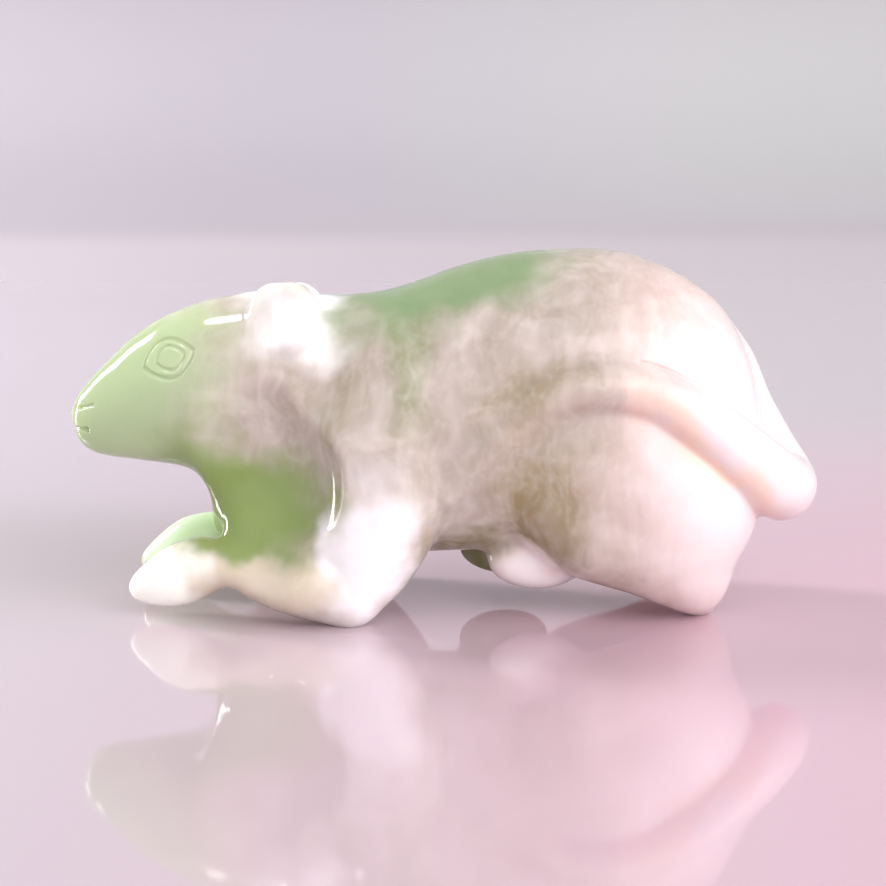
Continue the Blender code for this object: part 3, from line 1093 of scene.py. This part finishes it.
@dataclass(frozen=True)
class Sway:
    """A noise that moves the colours about: its scale, its detail, and its reach in millimetres."""

    scale: float
    detail: float
    reach: float


@dataclass(frozen=True)
class PolishedSerpentine:
    """Pale serpentine with a wet polish: green nose, throat and back, white rump, and pale ears and elbows.

    Patches lie under the clouding and blooms over it. Depth is how far light goes into the stone.
    """

    name: str = "polished serpentine"
    ground: Colour = shade(181, 168, 156)
    roughness: float = 0.07
    refraction: float = 1.56
    translucency: float = 0.5
    depth: float = 0.0022
    depth_of_colours: Point = (1.0, 0.85, 0.6)
    wave_scale: float = 0.45
    wave_detail: float = 2.0
    wave_strength: float = 0.12
    wave_height: float = 0.0001
    broad: Sway = Sway(0.28, 1.5, 5.0)
    fine: Sway = Sway(1.1, 1.0, 0.7)
    cloud_reach: float = 2.0
    patches: tuple[Patch, ...] = (
        Patch(shade(146, 152, 112), (-2.2, 0.0, 18.2), (1.6, 20.0, 4.4), 0.0, 0.6, 0.75),
        Patch(shade(158, 148, 116), (-6.6, 0.0, 14.6), (2.0, 20.0, 3.0), 0.0, 0.6, 0.5),
        Patch(shade(160, 140, 102), (5.4, 0.0, 15.4), (3.0, 20.0, 1.9), 0.4, 0.6, 0.6),
        # Olive stone in the hollow below the tail, darkened further as painted shade.
        Patch(shade(150, 132, 88), (6.5, 0.0, 8.4), (2.9, 20.0, 4.0), 0.0, 0.6, 0.9),
        Patch(shade(136, 130, 80), (0.8, 0.0, 4.5), (3.4, 20.0, 1.4), 0.0, 0.6, 0.8),
        Patch(shade(136, 140, 78), (2.4, 3.2, 3.2), (2.8, 3.2, 2.4), 0.0, 0.4),
        Patch(shade(232, 206, 200), (20.0, 0.0, 12.0), (8.6, 20.0, 18.0), 0.0, 0.6),
    )
    clouds: tuple[Cloud, ...] = (
        Cloud((0.8, 1.0, 4.5), 0.45, 2.0, (0.40, 0.75), shade(255, 246, 244), 0.22),
        Cloud((0.6, 1.0, 3.0), 0.80, 2.0, (0.46, 0.80), shade(120, 110, 84), 0.14),
        Cloud((2.4, 1.0, 1.0), 0.50, 2.0, (0.48, 0.74), shade(255, 244, 240), 0.20),
        Cloud((0.8, 1.0, 1.5), 1.60, 3.0, (0.40, 0.72), shade(255, 248, 246), 0.10),
    )
    blooms: tuple[Patch, ...] = (
        Patch(shade(176, 196, 150), (-21.7, 0.0, 15.2), (6.8, 20.0, 7.6), 0.25, 0.5, 0.92),
        Patch(shade(150, 169, 114), (-16.6, 0.0, 9.8), (3.0, 20.0, 2.8), 0.0, 0.6, 0.9),
        Patch(shade(131, 153, 78), (-13.2, 0.0, 7.2), (6.3, 20.0, 3.7), 0.0, 0.5, 0.95),
        Patch(shade(130, 156, 111), (0.8, 0.0, 23.5), (8.6, 20.0, 3.4), 0.3, 0.5, 0.9),
        Patch(shade(238, 226, 228), (21.2, 0.0, 9.6), (7.6, 20.0, 10.5), 0.0, 0.45, 0.95),
        # Painted light: the ears' pale stone, whitened further to stand in for the strong light on them.
        Patch(shade(254, 252, 252), (-9.8, 0.0, 20.0), (3.0, 20.0, 2.5), 0.0, 0.6, 0.95),
        # Painted light: pale stone at the elbows, whitened further to stand in for light glowing through it.
        Patch(shade(255, 250, 254), (-5.0, 0.0, 4.6), (3.0, 20.0, 4.8), 0.45, 0.5),
        Patch(shade(216, 202, 182), (-13.0, 0.0, 2.6), (6.4, 20.0, 1.8), 0.0, 0.45, 0.8),
        Patch(shade(248, 246, 238), (-18.3, -4.0, 2.4), (3.2, 3.0, 2.6), 0.0, 0.4),
        Patch(shade(222, 246, 210), (-17.5, 4.0, 3.4), (4.5, 3.4, 3.2), 0.0, 0.3),
        # Painted light: the near hind paw's pale stone, lightened to stand in for light thrown up off the
        # floor.
        Patch(shade(255, 240, 240), (6.8, -3.6, 3.0), (3.8, 2.6, 2.3), 0.0, 0.5),
        # Painted glow: warm light shining through the tail's lower edge, laid on as a peach patch.
        Patch(shade(250, 212, 184), (17.6, -6.5, 11.3), (4.6, 3.4, 1.3), -0.85, 0.9, 0.65),
    )

    def moved(self, graph: Graph, noise: bpy.types.NodeSocket, reach: float) -> bpy.types.NodeSocket:
        """A noise's way off its middle value, times the reach."""
        return graph.vector("MULTIPLY", graph.vector("SUBTRACT", noise, (0.5,) * 3), (reach,) * 3)

    def noise(self, graph: Graph, place: bpy.types.NodeSocket, sway: Sway) -> bpy.types.NodeSocket:
        """A sway's noise, as three values."""
        made = graph.node("ShaderNodeTexNoise", Vector=place, Scale=sway.scale, Detail=sway.detail)
        return made.outputs["Color"]

    def laid(self, graph: Graph, patch: bpy.types.NodeTree, place: bpy.types.NodeSocket,
             spots: tuple[Patch, ...], colour: bpy.types.NodeSocket) -> bpy.types.NodeSocket:
        """Lays patches over a colour, one by one.

        Args:
            graph: the material's graph.
            patch: the node group of a patch.
            place: the place in the stone, in millimetres.
            spots: the patches.
            colour: the colour under them.

        Returns:
            The colour with the patches on it.
        """
        for spot in spots:
            node = graph.node("ShaderNodeGroup", {"node_tree": patch}, Place=place, Centre=spot.centre,
                              Half_size=spot.half, Lean=spot.lean, Softness=spot.softness,
                              Strength=spot.strength)
            colour = graph.over(node.outputs["Mask"], colour, spot.colour)
        return colour

    def colour(self, graph: Graph, place: bpy.types.NodeSocket) -> bpy.types.NodeSocket:
        """The stone's colour: ground, patches, clouds and blooms, among them painted light and shade.

        Args:
            graph: the material's graph.
            place: the place in the stone, in millimetres.

        Returns:
            The colour.
        """
        cloud, patch = stone_cloud(), soft_patch()
        wander = self.noise(graph, place, self.broad)
        fine = self.noise(graph, place, self.fine)
        shift = graph.vector("ADD", self.moved(graph, wander, self.broad.reach),
                             self.moved(graph, fine, self.fine.reach))
        bent = graph.vector("ADD", place, shift)
        swayed = graph.vector("ADD", place, self.moved(graph, wander, self.cloud_reach))
        colour = graph.node("ShaderNodeRGB").outputs[0]
        colour.default_value = self.ground
        colour = self.laid(graph, patch, bent, self.patches, colour)
        for layer in self.clouds:
            node = graph.node("ShaderNodeGroup", {"node_tree": cloud}, Place=swayed, Stretch=layer.stretch,
                              Scale=layer.scale, Detail=layer.detail, From=layer.cut[0], To=layer.cut[1])
            share = graph.math("MULTIPLY", node.outputs["Mask"], layer.strength)
            colour = graph.over(share, colour, layer.colour)
        return self.laid(graph, patch, bent, self.blooms, colour)

    def dress(self, piece: bpy.types.Object) -> None:
        """Puts the finish on a piece.

        Args:
            piece: the piece, whose Object coordinates the colours follow.
        """
        material = bpy.data.materials.new(self.name)
        material.use_nodes = True
        graph = Graph(material.node_tree)
        shader = material.node_tree.nodes["Principled BSDF"]
        at = graph.node("ShaderNodeTexCoord").outputs["Object"]
        place = graph.vector("MULTIPLY", at, (1.0 / MM,) * 3)
        graph.tree.links.new(self.colour(graph, place), shader.inputs["Base Color"])
        waves = graph.node("ShaderNodeTexNoise", Vector=place, Scale=self.wave_scale,
                           Detail=self.wave_detail)
        bump = graph.node("ShaderNodeBump", Strength=self.wave_strength, Distance=self.wave_height,
                          Height=waves.outputs[0])
        graph.tree.links.new(bump.outputs[0], shader.inputs["Normal"])
        shader.inputs["Roughness"].default_value = self.roughness
        shader.inputs["IOR"].default_value = self.refraction
        shader.inputs["Subsurface Weight"].default_value = self.translucency
        shader.inputs["Subsurface Radius"].default_value = self.depth_of_colours
        shader.inputs["Subsurface Scale"].default_value = self.depth
        piece.data.materials.append(material)


@dataclass(frozen=True)
class Lamp:
    """A soft rectangular lamp: place, aim, size, power in watts, and how wide it fans out in degrees."""

    name: str
    place: Point
    aim: Point
    size: Span
    power: float
    spread: float = 180.0


@dataclass
class Studio:
    """The floor, the backdrop, the lights and the camera, in metres."""

    lens: float = 100.0
    sensor: float = 36.0
    nearest: float = 0.001
    elevation: float = math.radians(12.0)
    distance: float = 0.1652
    target: Point = (0.0001, 0.0, 0.0110)
    floor_left: Colour = shade(196, 185, 191)
    floor_right: Colour = shade(214, 172, 188)
    floor_far: Colour = shade(194, 184, 190)
    wall_left: Colour = shade(158, 152, 161)
    wall_right: Colour = shade(168, 167, 169)
    # Painted shade: a dark band on the wall, which the glossy floor shows as shade to the left of the
    # carving.
    wall_shade_band: Colour = shade(120, 124, 118)
    half_width: float = 0.7
    flat_rows: tuple[float, ...] = (-0.6, 0.0, 0.2)
    bend_start: float = 0.205
    bend_radius: float = 0.035
    bend_angle: float = 85.0
    bend_rows: int = 14
    wall_end: Span = (0.25, 0.5)
    left_to_right: Span = (-0.04, 0.05)
    near_to_far: Span = (0.0, 0.08)
    floor_to_wall: Span = (0.18, 0.23)
    band_foot: Span = (0.048, 0.056)
    band_head: Span = (0.064, 0.078)
    band_end: Span = (-0.035, -0.005)
    band_share: Span = (0.9, 0.15)
    gloss_end: Span = (0.10, 0.23)
    gloss: Span = (0.05, 0.7)
    floor_refraction: float = 2.1
    sky: Colour = (0.90, 0.87, 0.90, 1.0)
    front_to_rear: Span = (-1.0, 0.2)
    sky_strength: Span = (1.22, 0.50)
    lamps: tuple[Lamp, ...] = (
        Lamp("window", (0.32, -0.30, 0.24), (0.0, 0.0, 0.01), (0.26, 0.26), 0.66),
        Lamp("window frame", (0.32, -0.30, 0.24), (0.0, 0.0, 0.01), (0.46, 0.46), 1.06),
        Lamp("window wall", (0.32, -0.30, 0.24), (0.0, 0.0, 0.01), (0.72, 0.72), 1.62),
        Lamp("left window", (-0.255, 0.124, 0.154), (-0.02, 0.0, 0.015), (0.05, 0.16), 0.8),
        Lamp("left strip", (-0.285, 0.11, 0.035), (0.0, 0.0, 0.01), (0.05, 0.08), 0.34),
        Lamp("ear spot", (-0.035, 0.003, 0.075), (-0.0140, -0.003, 0.0197), (0.012, 0.012), 0.00012, 10.0),
    )

    def camera(self) -> None:
        """Sets the camera at the photograph's angle."""
        data = bpy.data.cameras.new("camera")
        data.lens = self.lens
        data.sensor_width = self.sensor
        data.clip_start = self.nearest
        camera = bpy.data.objects.new("camera", data)
        away = Vector((0.0, -math.cos(self.elevation), math.sin(self.elevation)))
        place = Vector(self.target) + away * self.distance
        turn = away.to_track_quat("Z", "Y").to_matrix().to_4x4()
        camera.matrix_world = Matrix.Translation(place) @ turn
        bpy.context.scene.collection.objects.link(camera)
        bpy.context.scene.camera = camera

    def sheet(self) -> bpy.types.Mesh:
        """One sheet, straight along X: flat rows, an arc that rises by radius * (1 - cos), and a wall.

        Returns:
            The sheet's mesh.
        """
        bend = np.radians(np.linspace(0, self.bend_angle, self.bend_rows))
        wall_y, wall_z = self.wall_end
        y = np.concatenate([self.flat_rows, self.bend_start + self.bend_radius * np.sin(bend), [wall_y]])
        z = np.concatenate([np.zeros(len(self.flat_rows)), self.bend_radius * (1 - np.cos(bend)), [wall_z]])
        x = np.array([-self.half_width, self.half_width])
        grid = np.stack([np.repeat(x, len(y)), np.tile(y, 2), np.tile(z, 2)], axis=1)
        row = np.arange(len(y) - 1)
        quads = np.stack([row, row + len(y), row + len(y) + 1, row + 1], axis=1)
        mesh = bpy.data.meshes.new("floor")
        mesh.from_pydata(grid.tolist(), [], quads.tolist())
        mesh.shade_smooth()
        return mesh

    def sheet_finish(self) -> bpy.types.Material:
        """A gloss that goes over into a matt backdrop, rosy to the right, with a painted shade band on the
        wall.

        Returns:
            The material.
        """
        material = bpy.data.materials.new("glossy pale floor")
        material.use_nodes = True
        graph = Graph(material.node_tree)
        shader = material.node_tree.nodes["Principled BSDF"]
        place = graph.node("ShaderNodeTexCoord").outputs["Object"]
        at = graph.node("ShaderNodeSeparateXYZ", at0=place).outputs
        rightward = graph.ramp(at[0], *self.left_to_right)
        near = graph.over(rightward, self.floor_left, self.floor_right)
        near = graph.over(graph.ramp(at[1], *self.near_to_far), near, self.floor_far)
        far = graph.over(rightward, self.wall_left, self.wall_right)
        # Painted shade: the dark band, faded in at its foot and head and strongest to the left.
        rising = graph.ramp(at[2], *self.band_foot)
        ending = graph.ramp(at[2], *self.band_head, 1.0, 0.0)
        leftward = graph.ramp(at[0], *self.band_end, *self.band_share)
        band = graph.math("MULTIPLY", graph.math("MULTIPLY", rising, ending), leftward)
        far = graph.over(band, far, self.wall_shade_band)
        backward = graph.ramp(at[1], *self.floor_to_wall)
        graph.tree.links.new(graph.over(backward, near, far), shader.inputs["Base Color"])
        graph.tree.links.new(graph.ramp(at[1], *self.gloss_end, *self.gloss), shader.inputs["Roughness"])
        shader.inputs["IOR"].default_value = self.floor_refraction
        return material

    def floor(self) -> None:
        """Lays the sheet that is both floor and backdrop."""
        mesh = self.sheet()
        mesh.materials.append(self.sheet_finish())
        floor = bpy.data.objects.new("floor", mesh)
        bpy.context.scene.collection.objects.link(floor)

    def light(self, lamp: Lamp) -> None:
        """Hangs a lamp that lights the scene and shows in gloss, but not itself.

        Args:
            lamp: the lamp.
        """
        data = bpy.data.lights.new(lamp.name, "AREA")
        data.shape = "RECTANGLE"
        data.size, data.size_y = lamp.size
        data.energy = lamp.power
        data.spread = math.radians(lamp.spread)
        hung = bpy.data.objects.new(lamp.name, data)
        turn = (Vector(lamp.place) - Vector(lamp.aim)).to_track_quat("Z", "Y").to_matrix().to_4x4()
        hung.matrix_world = Matrix.Translation(lamp.place) @ turn
        hung.visible_camera = False
        bpy.context.scene.collection.objects.link(hung)

    def lights(self) -> None:
        """The soft studio light: the lamps, and a pale surround that is brighter in front than behind."""
        for lamp in self.lamps:
            self.light(lamp)
        world = bpy.data.worlds.new("surround")
        world.use_nodes = True
        graph = Graph(world.node_tree)
        background = world.node_tree.nodes["Background"]
        background.inputs["Color"].default_value = self.sky
        way = graph.node("ShaderNodeTexCoord").outputs["Generated"]
        at = graph.node("ShaderNodeSeparateXYZ", at0=way).outputs
        strength = graph.ramp(at[1], *self.front_to_rear, *self.sky_strength)
        graph.tree.links.new(strength, background.inputs["Strength"])
        bpy.context.scene.world = world
        bpy.context.scene.view_settings.view_transform = "Standard"


def main() -> None:
    """Builds the carving and the studio, in order."""
    logging.basicConfig(level=logging.INFO, format="%(message)s")
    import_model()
    piece = MouseCarving().build()
    PolishedSerpentine().dress(piece)
    studio = Studio()
    studio.floor()
    studio.lights()
    studio.camera()


if __name__ == "__main__":
    main()
